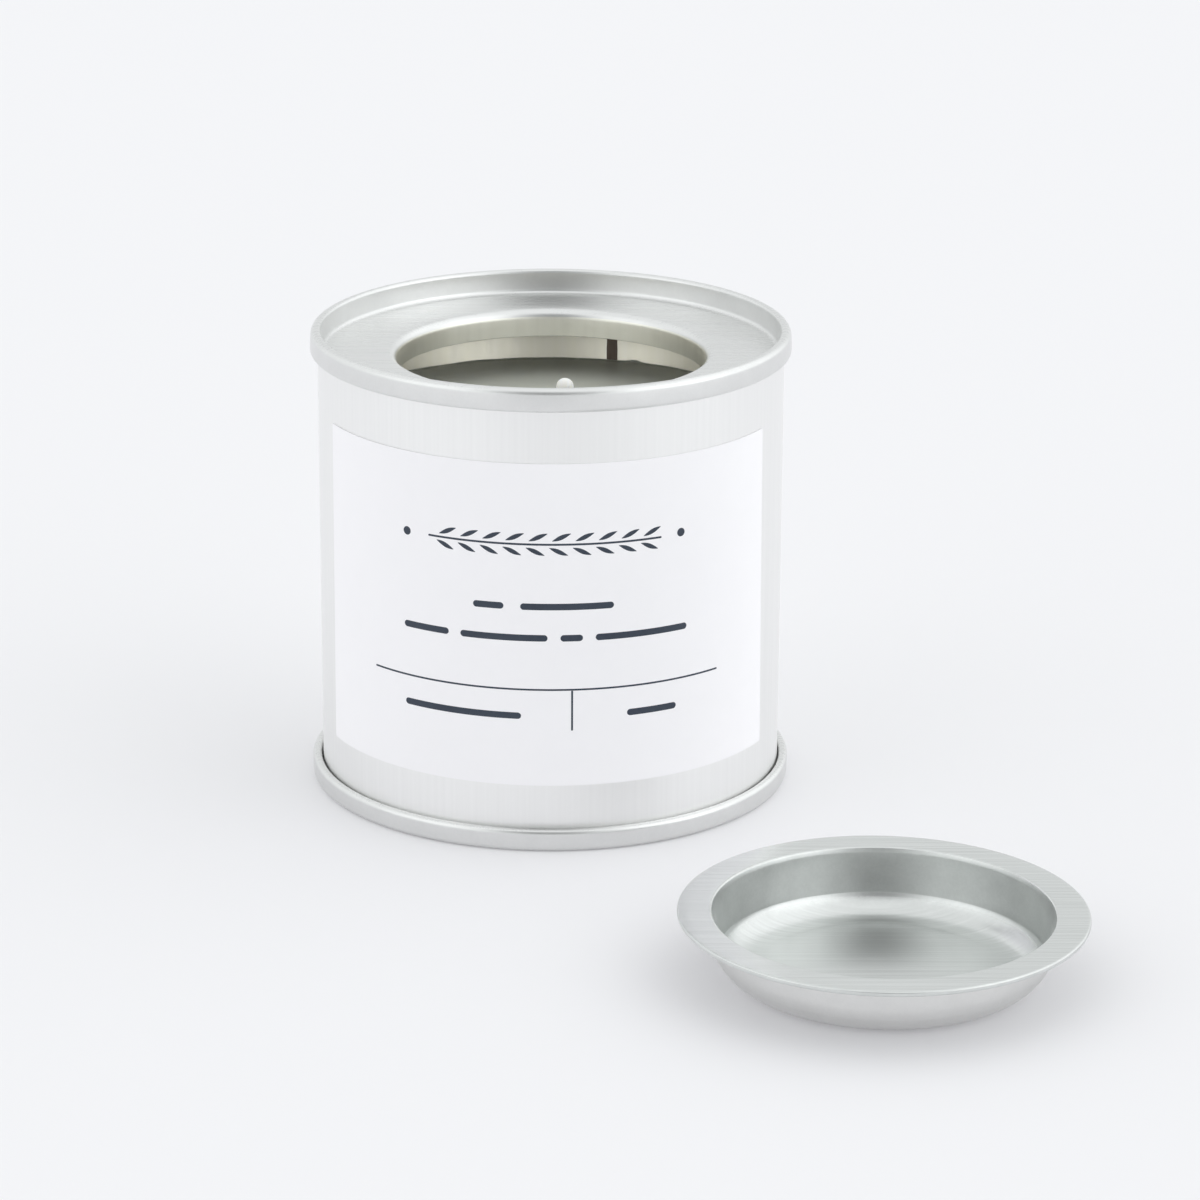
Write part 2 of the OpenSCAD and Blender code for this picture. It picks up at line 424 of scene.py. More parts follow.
def unrolled(tree, vector):
    """Coordinates unrolled from the tin's wall: height along X, distance round along Y."""
    split = add(tree, "ShaderNodeSeparateXYZ", [(0, vector)])
    angle = maths(tree, "ARCTAN2", split.outputs[0], split.outputs[1])
    distance = maths(tree, "MULTIPLY", angle, BODY_R)
    return add(tree, "ShaderNodeCombineXYZ", [(0, split.outputs[2]), (1, distance)]).outputs[0]


def make_grain_group(name, upright):
    """Rolling grain: fine lines from two layers of noise, which run along the vector's X,
    or up the tin's wall where they are upright."""
    group, given, result = node_group(
        name,
        [("Vector", "NodeSocketVector", None), ("Lines", "NodeSocketFloat", 6000.0),
         ("Length", "NodeSocketFloat", 60.0)],
        [("Height", "NodeSocketFloat"), ("Streak", "NodeSocketFloat")])
    vector = given.outputs["Vector"]
    if upright:
        vector = unrolled(group, vector)
    split = add(group, "ShaderNodeSeparateXYZ", [(0, vector)])
    along = maths(group, "MULTIPLY", split.outputs[0], given.outputs["Length"])
    across = maths(group, "MULTIPLY", split.outputs[1], given.outputs["Lines"])
    drawn = add(group, "ShaderNodeCombineXYZ", [(0, along), (1, across)]).outputs[0]
    fine = noise_layer(group, drawn, 1.0, 3.0)
    broad = noise_layer(group, drawn, 0.22, 2.0)
    both = maths(group, "ADD", fine, broad)
    group.links.new(ramp(group, both, 0.6, 1.4, 0.0, 1.0), result.inputs["Height"])
    group.links.new(ramp(group, broad, 0.35, 0.65, 0.0, 1.0), result.inputs["Streak"])
    return group


def make_blotch_group():
    """Soft cloudy patches, such as handling marks, as a value about one."""
    group, given, result = node_group(
        "soft_blotch",
        [("Vector", "NodeSocketVector", None), ("Scale", "NodeSocketFloat", 90.0),
         ("Amount", "NodeSocketFloat", 0.1)],
        [("Value", "NodeSocketFloat")])
    cloud = noise_layer(group, given.outputs["Vector"], given.outputs["Scale"], 4.0)
    about = maths(group, "SUBTRACT", cloud, 0.5)
    swing = maths(group, "MULTIPLY", about, given.outputs["Amount"])
    group.links.new(maths(group, "ADD", swing, 1.0), result.inputs["Value"])
    return group


def make_fibre_group():
    """A matted grain, for paper, foam, cotton and drawn tin: a height and a faint shade."""
    group, given, result = node_group(
        "matted_fibre",
        [("Vector", "NodeSocketVector", None), ("Scale", "NodeSocketFloat", 4000.0)],
        [("Height", "NodeSocketFloat"), ("Shade", "NodeSocketFloat")])
    fine = noise_layer(group, given.outputs["Vector"], given.outputs["Scale"], 5.0, 0.7)
    broad = noise_layer(group, given.outputs["Vector"], 350.0, 3.0)
    both = maths(group, "ADD", fine, broad)
    group.links.new(fine, result.inputs["Height"])
    group.links.new(ramp(group, both, 0.7, 1.3, 0.0, 1.0), result.inputs["Shade"])
    return group


def make_press_group():
    """Masks that are one where a face lies level and none on an upright wall: the grain's,
    which the press draws out early, and the gloss's, which lasts into the bends."""
    group, given, result = node_group(
        "press_masks",
        [("Normal", "NodeSocketVector", None)],
        [("Grain", "NodeSocketFloat"), ("Gloss", "NodeSocketFloat")])
    split = add(group, "ShaderNodeSeparateXYZ", [(0, given.outputs["Normal"])])
    level = maths(group, "ABSOLUTE", split.outputs[2])
    group.links.new(ramp(group, level, *GRAIN_FADES, 0.0, 1.0), result.inputs["Grain"])
    group.links.new(ramp(group, level, *GLOSS_FADES, 0.0, 1.0), result.inputs["Gloss"])
    return group


def make_raised_group():
    """The surface's normal, turned up by a share of one."""
    group, given, result = node_group(
        "raised_normal",
        [("Normal", "NodeSocketVector", None), ("Rise", "NodeSocketFloat", 0.1)],
        [("Normal", "NodeSocketVector")])
    rise = add(group, "ShaderNodeCombineXYZ", [(2, given.outputs["Rise"])]).outputs[0]
    raised = add(group, "ShaderNodeVectorMath", [(0, given.outputs["Normal"]), (1, rise)],
                 operation="ADD").outputs[0]
    turned = add(group, "ShaderNodeVectorMath", [(0, raised)], operation="NORMALIZE")
    group.links.new(turned.outputs[0], result.inputs["Normal"])
    return group


ROLLING_GRAIN = make_grain_group("rolling_grain", upright=False)
UPRIGHT_GRAIN = make_grain_group("upright_grain", upright=True)
BLOTCH = make_blotch_group()
FIBRE = make_fibre_group()
PRESS_MASKS = make_press_group()
RAISED_NORMAL = make_raised_group()


def new_material(name):
    """A material with its Principled shader and object coordinates."""
    made = bpy.data.materials.new(name)
    made.use_nodes = True
    tree = made.node_tree
    shader = tree.nodes["Principled BSDF"]
    coordinates = tree.nodes.new("ShaderNodeTexCoord").outputs["Object"]
    return made, tree, shader, coordinates


def place(tree, group, source, **values):
    """Places a shared group, links its first input and sets the others by name."""
    made = add(tree, "ShaderNodeGroup", node_tree=group)
    tree.links.new(source, made.inputs[0])
    for label, value in values.items():
        made.inputs[label].default_value = value
    return made


def tint(tree, factor, dark, light):
    """A colour between two, by a factor."""
    mixed = add(tree, "ShaderNodeMix", [(0, factor)], {6: (*dark, 1), 7: (*light, 1)},
                data_type="RGBA")
    return mixed.outputs[2]


def blend(tree, mask, without, within):
    """One value where the mask is none, and another where it is one."""
    return add(tree, "ShaderNodeMix", [(0, mask), (2, without), (3, within)]).outputs[0]


def bump(tree, shader, height, strength, distance):
    """Feeds a height to the shader's normal, and gives the bump node."""
    made = add(tree, "ShaderNodeBump", [("Height", height)],
               {"Strength": strength, "Distance": distance})
    tree.links.new(made.outputs[0], shader.inputs["Normal"])
    return made


def steepened(tree, normal, kept):
    """A normal whose rise is cut to a share of itself on steep faces."""
    split = add(tree, "ShaderNodeSeparateXYZ", [(0, normal)])
    level = maths(tree, "ABSOLUTE", split.outputs[2])
    share = ramp(tree, level, *STEEP_FADES, kept, 1.0)
    rise = maths(tree, "MULTIPLY", split.outputs[2], share)
    joined = add(tree, "ShaderNodeCombineXYZ",
                 [(0, split.outputs[0]), (1, split.outputs[1]), (2, rise)])
    turned = add(tree, "ShaderNodeVectorMath", [(0, joined.outputs[0])],
                 operation="NORMALIZE")
    return turned.outputs[0]


def tinplate(name, dark, light, roughness, lines, length, relief, upright=False, rise=0.0):
    """Rolled tinplate: grain in its tint and relief, cloudy roughness."""
    made, tree, shader, coordinates = new_material(name)
    grain_kind = UPRIGHT_GRAIN if upright else ROLLING_GRAIN
    grain = place(tree, grain_kind, coordinates, Lines=lines, Length=length)
    cloud = place(tree, BLOTCH, coordinates, Scale=CLOUD_SCALE, Amount=CLOUD_AMOUNT)
    shader.inputs["Metallic"].default_value = 1.0
    tree.links.new(tint(tree, grain.outputs["Streak"], dark, light),
                   shader.inputs["Base Color"])
    rough = ramp(tree, grain.outputs["Height"], 0.0, 1.0, roughness * (1 - UNEVEN),
                 roughness * (1 + UNEVEN))
    tree.links.new(maths(tree, "MULTIPLY", rough, cloud.outputs[0]),
                   shader.inputs["Roughness"])
    surface = bump(tree, shader, grain.outputs["Height"], relief, TIN_RELIEF)
    if rise:
        normal = add(tree, "ShaderNodeNewGeometry").outputs["Normal"]
        raised = place(tree, RAISED_NORMAL, normal, Rise=rise)
        tree.links.new(raised.outputs["Normal"], surface.inputs["Normal"])
    return made


def pressed_tin(name, dark, light, level_roughness, wall_roughness, lines, length, relief,
                rise_kept=1.0):
    """Pressed tinplate: its rolling grain shows where it lies level, and where the press
    drew it over a wall it is duller, with a fine sandy grain instead."""
    made, tree, shader, coordinates = new_material(name)
    facing = add(tree, "ShaderNodeTexCoord").outputs["Normal"]
    masks = place(tree, PRESS_MASKS, facing)
    grain = place(tree, ROLLING_GRAIN, coordinates, Lines=lines, Length=length)
    sand = place(tree, FIBRE, coordinates, Scale=2400.0)
    cloud = place(tree, BLOTCH, coordinates, Scale=CLOUD_SCALE, Amount=CLOUD_AMOUNT)
    level = masks.outputs["Grain"]
    height = blend(tree, level, sand.outputs["Height"], grain.outputs["Height"])
    shade = blend(tree, level, sand.outputs["Shade"], grain.outputs["Streak"])
    shader.inputs["Metallic"].default_value = 1.0
    tree.links.new(tint(tree, shade, dark, light), shader.inputs["Base Color"])
    dull = ramp(tree, masks.outputs["Gloss"], 0.0, 1.0, wall_roughness, level_roughness)
    uneven = ramp(tree, height, 0.0, 1.0, 1 - UNEVEN, 1 + UNEVEN)
    rough = maths(tree, "MULTIPLY", dull, uneven)
    tree.links.new(maths(tree, "MULTIPLY", rough, cloud.outputs[0]),
                   shader.inputs["Roughness"])
    surface = bump(tree, shader, height, relief, TIN_RELIEF)
    if rise_kept < 1.0:
        normal = add(tree, "ShaderNodeNewGeometry").outputs["Normal"]
        tree.links.new(steepened(tree, normal, rise_kept), surface.inputs["Normal"])
    return made


def paper_white(name, colour, scale):
    """Smooth matt paper with a faint fibre."""
    made, tree, shader, coordinates = new_material(name)
    fibre = place(tree, FIBRE, coordinates, Scale=scale)
    shade = tint(tree, fibre.outputs["Shade"], [c * 0.985 for c in colour], colour)
    tree.links.new(shade, shader.inputs["Base Color"])
    shader.inputs["Roughness"].default_value = 0.55
    shader.inputs["Specular IOR Level"].default_value = 0.35
    bump(tree, shader, fibre.outputs["Height"], 0.25, PAPER_RELIEF)
    return made


def print_ink():
    """Dark blue-grey ink that thins a little over the paper's fibre."""
    made, tree, shader, coordinates = new_material("print_ink")
    fibre = place(tree, FIBRE, coordinates, Scale=5000.0)
    shade = tint(tree, fibre.outputs["Shade"], (0.022, 0.033, 0.054), (0.034, 0.048, 0.072))
    tree.links.new(shade, shader.inputs["Base Color"])
    shader.inputs["Roughness"].default_value = 0.5
    return made


def soy_wax():
    """Poured soy wax, softly lit from within, with a faint frosting; its off-white is darkened
    as painted shade.
    """
    made, tree, shader, coordinates = new_material("soy_wax")
    cloud = place(tree, BLOTCH, coordinates, Scale=160.0, Amount=1.0)
    frost = ramp(tree, cloud.outputs["Value"], 0.75, 1.25, 0.0, 1.0)
    # The wax's off-white is darkened here: painted shade.
    tree.links.new(tint(tree, frost, (0.60, 0.61, 0.55), (0.63, 0.64, 0.58)),
                   shader.inputs["Base Color"])
    tree.links.new(ramp(tree, frost, 0.0, 1.0, 0.17, 0.23), shader.inputs["Roughness"])
    shader.inputs["Subsurface Weight"].default_value = 0.2
    shader.inputs["Subsurface Radius"].default_value = (1.0, 0.85, 0.6)
    shader.inputs["Subsurface Scale"].default_value = 1.2 * MM
    bump(tree, shader, cloud.outputs["Value"], 0.1, WAX_RELIEF)
    return made


def cotton():
    """Braided cotton under a skin of wax."""
    made, tree, shader, coordinates = new_material("waxed_cotton")
    fibre = place(tree, FIBRE, coordinates, Scale=2600.0)
    tree.links.new(tint(tree, fibre.outputs["Shade"], (0.95, 0.94, 0.90), (0.98, 0.97, 0.94)),
                   shader.inputs["Base Color"])
    shader.inputs["Roughness"].default_value = 0.5
    shader.inputs["Subsurface Weight"].default_value = 0.25
    shader.inputs["Subsurface Radius"].default_value = (1.0, 0.9, 0.7)
    shader.inputs["Subsurface Scale"].default_value = 0.6 * MM
    bump(tree, shader, fibre.outputs["Height"], 0.4, WAX_RELIEF)
    return made


def side_lacquer():
    """Brown lacquer over the weld, brushed on unevenly."""
    made, tree, shader, coordinates = new_material("side_lacquer")
    cloud = place(tree, BLOTCH, coordinates, Scale=500.0, Amount=1.0)
    coat = ramp(tree, cloud.outputs["Value"], 0.7, 1.3, 0.0, 1.0)
    tree.links.new(tint(tree, coat, (0.27, 0.205, 0.17), (0.38, 0.30, 0.26)),
                   shader.inputs["Base Color"])
    tree.links.new(ramp(tree, coat, 0.0, 1.0, 0.28, 0.42), shader.inputs["Roughness"])
    return made


def lining():
    """Matt grey lining compound."""
    made, tree, shader, coordinates = new_material("lining_compound")
    cloud = place(tree, BLOTCH, coordinates, Scale=900.0, Amount=0.6)
    shade = ramp(tree, cloud.outputs["Value"], 0.8, 1.2, 0.0, 1.0)
    tree.links.new(tint(tree, shade, (0.14, 0.15, 0.16), (0.22, 0.23, 0.24)),
                   shader.inputs["Base Color"])
    shader.inputs["Roughness"].default_value = 0.8
    return made


BODY_FINISH = tinplate(
    "body_tinplate", (0.88, 0.88, 0.875), (0.90, 0.90, 0.895), roughness=0.37,
    lines=8000.0, length=90.0, relief=0.03, upright=True)
# Inside of the wall: the tin painted brighter and cream-tinted, as painted light with a
# painted reflection of the lit wax.
INNER_PAINTED_LIGHT_FINISH = tinplate(
    "inner_tinplate_painted_light", (0.93, 0.90, 0.78), (0.97, 0.94, 0.84), roughness=0.32,
    lines=2500.0, length=90.0, relief=0.05, upright=True, rise=0.23)
# The neck's tin is painted brighter and creamier than the rest of the pressing: painted light.
NECK_PAINTED_LIGHT_FINISH = tinplate(
    "neck_tinplate_painted_light", (0.87, 0.86, 0.79), (0.90, 0.89, 0.82), roughness=0.36,
    lines=2500.0, length=90.0, relief=0.03, upright=True, rise=0.04)
PRESSED_FINISH = pressed_tin(
    "pressed_tinplate", (0.725, 0.728, 0.722), (0.765, 0.768, 0.762), level_roughness=0.28,
    wall_roughness=0.33, lines=6000.0, length=160.0, relief=0.03)
# The lid's top side is a darker copy of the tin, painted shade for its inner wall; its
# underside is a paler copy of the same tin, painted light.
LID_PAINTED_SHADE_FINISH = pressed_tin(
    "lid_tinplate", (0.635, 0.65, 0.64), (0.715, 0.73, 0.72), level_roughness=0.22,
    wall_roughness=0.38, lines=12000.0, length=160.0, relief=0.14, rise_kept=0.15)
LID_UNDER_PAINTED_LIGHT_FINISH = pressed_tin(
    "lid_under_tinplate_painted_light", (0.75, 0.75, 0.74), (0.79, 0.79, 0.78), level_roughness=0.30,
    wall_roughness=0.36, lines=12000.0, length=160.0, relief=0.06)
WELD_FINISH = tinplate(
    "weld_tinplate", (0.42, 0.42, 0.43), (0.58, 0.58, 0.59), roughness=0.45,
    lines=3000.0, length=900.0, relief=0.5, upright=True)
FOOT_FINISH = tinplate(
    "foot_steel", (0.55, 0.56, 0.57), (0.62, 0.63, 0.64), roughness=0.38,
    lines=5000.0, length=160.0, relief=0.1)
PAPER_FINISH = paper_white("label_paper", (0.955, 0.945, 0.965), 4200.0)
FOAM_FINISH = paper_white("sticker_foam", (0.80, 0.80, 0.78), 1800.0)
INK_FINISH = print_ink()
# Wax darkened below its off-white as painted shade.
SHADED_WAX_FINISH = soy_wax()
COTTON_FINISH = cotton()
LACQUER_FINISH = side_lacquer()
LINING_FINISH = lining()


# ------------------------------------------------------------------ pieces

def settle(piece, body, slot, finish, *nodes):
    """Gives a piece its finish and its body, and hides the nodes it stands for. The slot is
    not used.
    """
    piece.data.materials.append(finish)
    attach(piece, body)
    for node in nodes:
        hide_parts(node)


def make_body_wall():
    """The rolled wall, hooked into both seams; its inside takes a brighter, cream-tinted copy
    of the tin: painted light with a painted reflection of the lit wax.
    """
    path = (body_seam(BASE_SEAM_R, BASE_SEAM_H, BASE_HOOK_DEPTH)[::-1]
            + from_top(body_seam(TOP_SEAM_R, TOP_SEAM_H, TOP_HOOK_DEPTH)))
    piece = link("body_wall", lathe(sheet_section(path)))
    settle(piece, "tin", "body_tinplate", BODY_FINISH, "body_shell")
    # Inside faces take the brighter cream copy of the tin: painted light with a painted
    # reflection of the lit wax.
    piece.data.materials.append(INNER_PAINTED_LIGHT_FINISH)
    for face in piece.data.polygons:
        if face.center.xy.length < WALL_MID:
            face.material_index = 1


def make_ring():
    """Seam, countersunk panel, rounded shoulder and neck, all one pressing; the drawn
    neck takes a brighter, cream-tinted copy of the tin as painted light."""
    path = (end_seam(TOP_SEAM_R, TOP_SEAM_H, TOP_CREST_R, TOP_CREST_FLAT, TOP_LEAN)
            + arc(CHUCK_MID - CHUCK_FILLET, RING_DEPTH - CHUCK_FILLET, CHUCK_FILLET, 0, 90)
            + arc(NECK_MID + SHOULDER, RING_DEPTH + SHOULDER, SHOULDER, -90, -180)
            + [Vector((NECK_MID, NECK_DEPTH))])
    piece = link("ring_pressing", lathe(sheet_section(from_top(path))))
    settle(piece, "tin", "pressed_tinplate", PRESSED_FINISH, "top_ring")
    # Inward-facing neck faces take the brighter cream copy of the tin: painted light.
    piece.data.materials.append(NECK_PAINTED_LIGHT_FINISH)
    for face in piece.data.polygons:
        inward = -face.normal.xy.dot(face.center.xy.normalized())
        if face.center.xy.length < NECK_MID + SHOULDER and inward > NECK_FACING:
            face.material_index = 1


def make_base():
    """Seam, countersunk panel and a shallow stiffening step."""
    corner = (BASE_SEAM_R + SHEET / 2 - CHUCK_MID - CREST_FLAT) / 2
    path = (end_seam(BASE_SEAM_R, BASE_SEAM_H, corner, CREST_FLAT, BASE_LEAN)
            + arc(CHUCK_MID - BASE_FILLET, BASE_DEPTH - BASE_FILLET, BASE_FILLET, 0, 90)
            + [Vector((BASE_STEP_R, BASE_DEPTH)),
               Vector((BASE_STEP_R - 1.5 * BASE_STEP, BASE_DEPTH - BASE_STEP)),
               Vector((0, BASE_DEPTH - BASE_STEP))])
    mesh = lathe(sheet_section(path))
    settle(link("base_pressing", mesh), "tin", "pressed_tinplate", PRESSED_FINISH,
           "bottom_end")


def make_lid():
    """Folded edge, flange, lead-in, tapered plug, crease and rounded dish; its top side is a
    darker copy of the tin as painted shade, and its underside a paler copy as painted light."""
    bend = (LID_EDGE_H - SHEET) / 2
    edge_mid = FLANGE_R - SHEET / 2 - bend
    flange_mid = LID_H - SHEET / 2
    floor_r = PLUG_MID - PLUG_TAPER - DISH_FILLET * math.sin(math.radians(DISH_CREASE))
    lean = math.radians(MOUTH_LEAN)
    lean_in = MOUTH_R - PLUG_MID - LEAD_IN_R * (1 - math.cos(lean))
    lead_in_z = flange_mid - LEAD_IN_R * math.sin(lean) - lean_in / math.tan(lean)
    bend_r = MOUTH_R + FLANGE_BEND * math.tan(math.pi / 4 - lean / 2)
    path = ([Vector((edge_mid - HEM, flange_mid - 2 * bend))]
            + arc(edge_mid, flange_mid - bend, bend, -90, 90)
            + arc(bend_r, flange_mid - FLANGE_BEND, FLANGE_BEND, 90, 180 - MOUTH_LEAN)
            + arc(PLUG_MID + LEAD_IN_R, lead_in_z, LEAD_IN_R, 180 - MOUTH_LEAN, 180)
            + arc(floor_r, SHEET / 2 + DISH_FILLET, DISH_FILLET, DISH_CREASE - 90, -90,
                  DISH_STEPS)
            + [Vector((0, SHEET / 2))])
    piece = link("lid_pressing", lathe(sheet_section(path), LID_CENTRE.xy))
    settle(piece, "lid", "lid_tinplate", LID_PAINTED_SHADE_FINISH, "lid")
    # Faces under the plug take the paler copy of the tin: painted light.
    piece.data.materials.append(LID_UNDER_PAINTED_LIGHT_FINISH)
    for face in piece.data.polygons:
        reach = face.center.xy - LID_CENTRE.xy
        outward = face.normal.xy.dot(reach.normalized())
        faces_down = face.normal.z < -UNDER_FACING
        if reach.length < MOUTH_R and (outward > UNDER_FACING or faces_down):
            face.material_index = 1


def make_side_seam():
    """The welded lap outside the wall, and the lacquer stripe inside it."""
    middle = math.radians(180 - SIDE_SEAM_TURN) * LABEL_R
    low = BASE_SEAM_H + WELD_MARGIN
    high = TIN_TOP - TOP_SEAM_H - WELD_MARGIN
    mesh = bmesh.new()
    crown = [middle + share * WELD_WIDTH / 2 for share in WELD_CROWN]
    add_strip(mesh, [((along, low), (along, high)) for along in crown],
              BODY_R - SHEET / 4, BODY_R + WELD_RISE)
    settle(link("weld_lap", mesh), "tin", "body_tinplate", WELD_FINISH)
    low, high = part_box("side_seam_lacquer")
    mesh = bmesh.new()
    pairs = []
    for i in range(LACQUER_STEPS + 1):
        height = low.z + (high.z - low.z) * i / LACQUER_STEPS
        ragged = noise.noise(Vector((height / LACQUER_WAVE, 0, 0)))
        edge = LACQUER_HALF + LACQUER_RAGGED * ragged
        pairs.append(((middle - edge, height), (middle + edge, height)))
    outer = BODY_R - SHEET - LACQUER_GAP
    add_strip(mesh, pairs, outer - LACQUER_COAT, outer)
    settle(link("seam_lacquer", mesh), "tin", "brown_lacquer", LACQUER_FINISH,
           "side_seam_lacquer")


def make_label():
    """The paper, put on by hand, so that its sides aren't quite square."""
    pairs = []
    for i in range(LABEL_COLUMNS + 1):
        share = i / LABEL_COLUMNS
        low = LABEL_LEFT + (LABEL_RIGHT - LABEL_LEFT) * share
        high = low + LABEL_SKEW_LEFT * (1 - share) - LABEL_SKEW_RIGHT * share
        pairs.append(((low, LABEL_LOW.z), (high, LABEL_HIGH.z)))
    mesh = bmesh.new()
    add_strip(mesh, pairs, LABEL_R, LABEL_R + PAPER)
    settle(link("label_sheet", mesh), "tin", "label_paper", PAPER_FINISH, "label")


def sprig():
    """The strips of the leaf sprig: its stem, and leaves in staggered pairs."""
    shapes = [pill(SPRIG_LEFT * MM, SPRIG_RIGHT * MM, STEM * MM, SPRIG_Z * MM)]
    span = SPRIG_RIGHT - SPRIG_LEFT - FIRST_LEAF - LAST_LEAF
    for i in range(LEAVES):
        for side in (1, -1):
            left = SPRIG_LEFT + FIRST_LEAF + span * i / (LEAVES - 1)
            if side > 0:
                left += LEAF_STAGGER
            shapes.append(lens(left * MM, (left + LEAF_LENGTH) * MM, LEAF_WIDTH * MM,
                               (SPRIG_Z + side * LEAF_FOOT) * MM, side * LEAF_RISE * MM))
    return shapes


def make_print():
    """A leaf sprig between two dots, plain bars for the lines of print, and the rules."""
    shapes = sprig()
    for along, height in DOTS:
        shapes.append(pill((along - DOT / 2) * MM, (along + DOT / 2) * MM, DOT * MM,
                           height * MM))
    for height, bars in BAR_ROWS:
        for left, right in bars:
            shapes.append(pill(left * MM, right * MM, BAR * MM, height * MM))
    shapes.append(pill(RULE_LEFT * MM, RULE_RIGHT * MM, RULE * MM, RULE_Z * MM))
    sides = ((DIVIDER - RULE / 2) * MM, (DIVIDER + RULE / 2) * MM)
    low, high = DIVIDER_LOW * MM, (RULE_Z - RULE / 2 - DIVIDER_GAP) * MM
    shapes.append([((along, low), (along, high)) for along in sides])
    mesh = bmesh.new()
    for pairs in shapes:
        add_strip(mesh, pairs, LABEL_R + PAPER - PRINT / 2, LABEL_R + PAPER + PRINT)
    settle(link("label_print", mesh), "tin", "label_paper", INK_FINISH)


def make_wax():
    """The poured fill, drawn up unevenly at the wall, with one small run."""
    edge = WAX_R - WAX_RISE
    section = filled([Vector((0, WAX_LOW.z)), Vector((WAX_R, WAX_LOW.z + BASE_STEP)),
                      Vector((WAX_R, WAX_TOP))], WAX_SIDE_STEP)
    section += arc(edge, WAX_HIGH.z, WAX_RISE, 0, -90)
    section += filled([Vector((edge, WAX_TOP)), Vector((0, WAX_TOP))], WAX_FACE_STEP)[1:]
    mesh = lathe(section)
    run = math.radians(WAX_RUN_TURN)
    for v in mesh.verts:
        if v.co.z < WAX_TOP - ON_AXIS:
            continue
        turn = math.atan2(v.co.y, v.co.x)
        climb = max(0.0, (v.co.xy.length - edge) / WAX_RISE)
        ripple = noise.noise(Vector((v.co.x, v.co.y, 0)) / WAX_RIPPLE_SIZE)
        wave = 0.5 + 0.5 * noise.noise(Vector((turn * WAX_EDGE_WAVES, 0, 3)))
        bead = math.exp(-((turn - run) * WAX_R / WAX_RUN_WIDTH) ** 2)
        v.co.z += WAX_RIPPLE * ripple * (1 - climb)
        v.co.z -= WAX_EDGE_DROP * climb * wave
        v.co.z += WAX_RUN_RISE * bead * climb
    settle(link("wax_fill", mesh), "tin", "soy_wax", SHADED_WAX_FINISH, "wax")


def make_wick():
    """Braided cotton with a rounded waxed tip, and the wax drawn up round it."""
    x, y = WICK_CENTRE.xy
    section = filled([Vector((0, WICK_LOW.z)), Vector((WICK_R, WICK_LOW.z)),
                      Vector((WICK_R, WICK_HIGH.z - WICK_R))], WICK_STEP)
    section += arc(0, WICK_HIGH.z - WICK_R, WICK_R, 0, 90, WICK_TIP_STEPS)[1:]
    mesh = lathe(section, (x, y), WICK_SEGMENTS)
    for v in mesh.verts:
        out = Vector((v.co.x - x, v.co.y - y))
        if out.length < ON_AXIS:
            continue
        turn = BRAID_STRANDS * math.atan2(out.y, out.x)
        climb = 2 * math.pi * v.co.z / BRAID_PITCH
        strands = math.sin(turn + climb) * math.sin(turn - climb)
        lump = noise.noise(v.co / LUMP_SIZE)
        dips = BRAID_DEPTH * (0.5 - 0.5 * strands) + LUMP_DEPTH * (0.5 + 0.5 * lump)
        v.co.x = x + out.x * (1 - dips)
        v.co.y = y + out.y * (1 - dips)
    settle(link("wick_braid", mesh), "tin", "cotton_wick", COTTON_FINISH, "wick")
    fillet = [Vector((WICK_R * WICK_OVERLAP, WAX_TOP - WICK_FILLET))]
    fillet += arc(WICK_R + WICK_FILLET, WAX_TOP + WICK_FILLET, WICK_FILLET, 180, 270)
    fillet += [Vector((WICK_R + WICK_FILLET, WAX_TOP - WICK_FILLET))]
    mesh = lathe(fillet, (x, y), WICK_SEGMENTS)
    settle(link("wax_rise", mesh), "tin", "soy_wax", SHADED_WAX_FINISH)


def finish_hidden_nodes():
    """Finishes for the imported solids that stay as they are, out of sight."""
    finishes = {"top_seam_compound": LINING_FINISH, "bottom_seam_compound": LINING_FINISH,
                "wick_sustainer": FOOT_FINISH, "wick_sticker": FOAM_FINISH}
    for node, finish in finishes.items():
        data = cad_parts[node].data
        data.materials.clear()
        data.materials.append(finish)


# ------------------------------------------------------------------- stage

# Camera, with its angles in degrees and its lens and sensor in millimetres
CAMERA_PLACE = Vector((3.147, -549.12, 204.56)) * MM
CAMERA_TURN = 0.347
CAMERA_DIP = 18.277
CAMERA_ROLL = 0.303
CAMERA_LENS = 132.35
CAMERA_SENSOR = 36

# Light by direction. A patch has its direction, the degrees from it at which it starts
# and at which it is whole, and what it adds there.
STUDIO_TINT = (0.98, 1.0, 1.005)
STUDIO_LEVEL = 1.03
STUDIO_PATCHES = (((0.0, -0.875, 0.485), 38, 6, -0.78),
                  ((0.72, -0.55, 0.35), 45, 10, 0.40),
                  ((-0.72, -0.55, 0.35), 45, 10, 0.28),
                  ((0.9, 0.2, 0.45), 60, 20, 0.28),
                  ((-0.95, 0.1, 0.30), 50, 20, 0.02),
                  ((0.0, 1.0, 0.2), 50, 15, -0.15))
BACKDROP = (0.885, 0.895, 0.925)
FLOOR_TINT = (0.69, 0.685, 0.695)
FLOOR_GLOW = (0.18, 0.18, 0.187)
FLOOR_SIZE = 8
FLOOR_DROP = 0.01 * MM


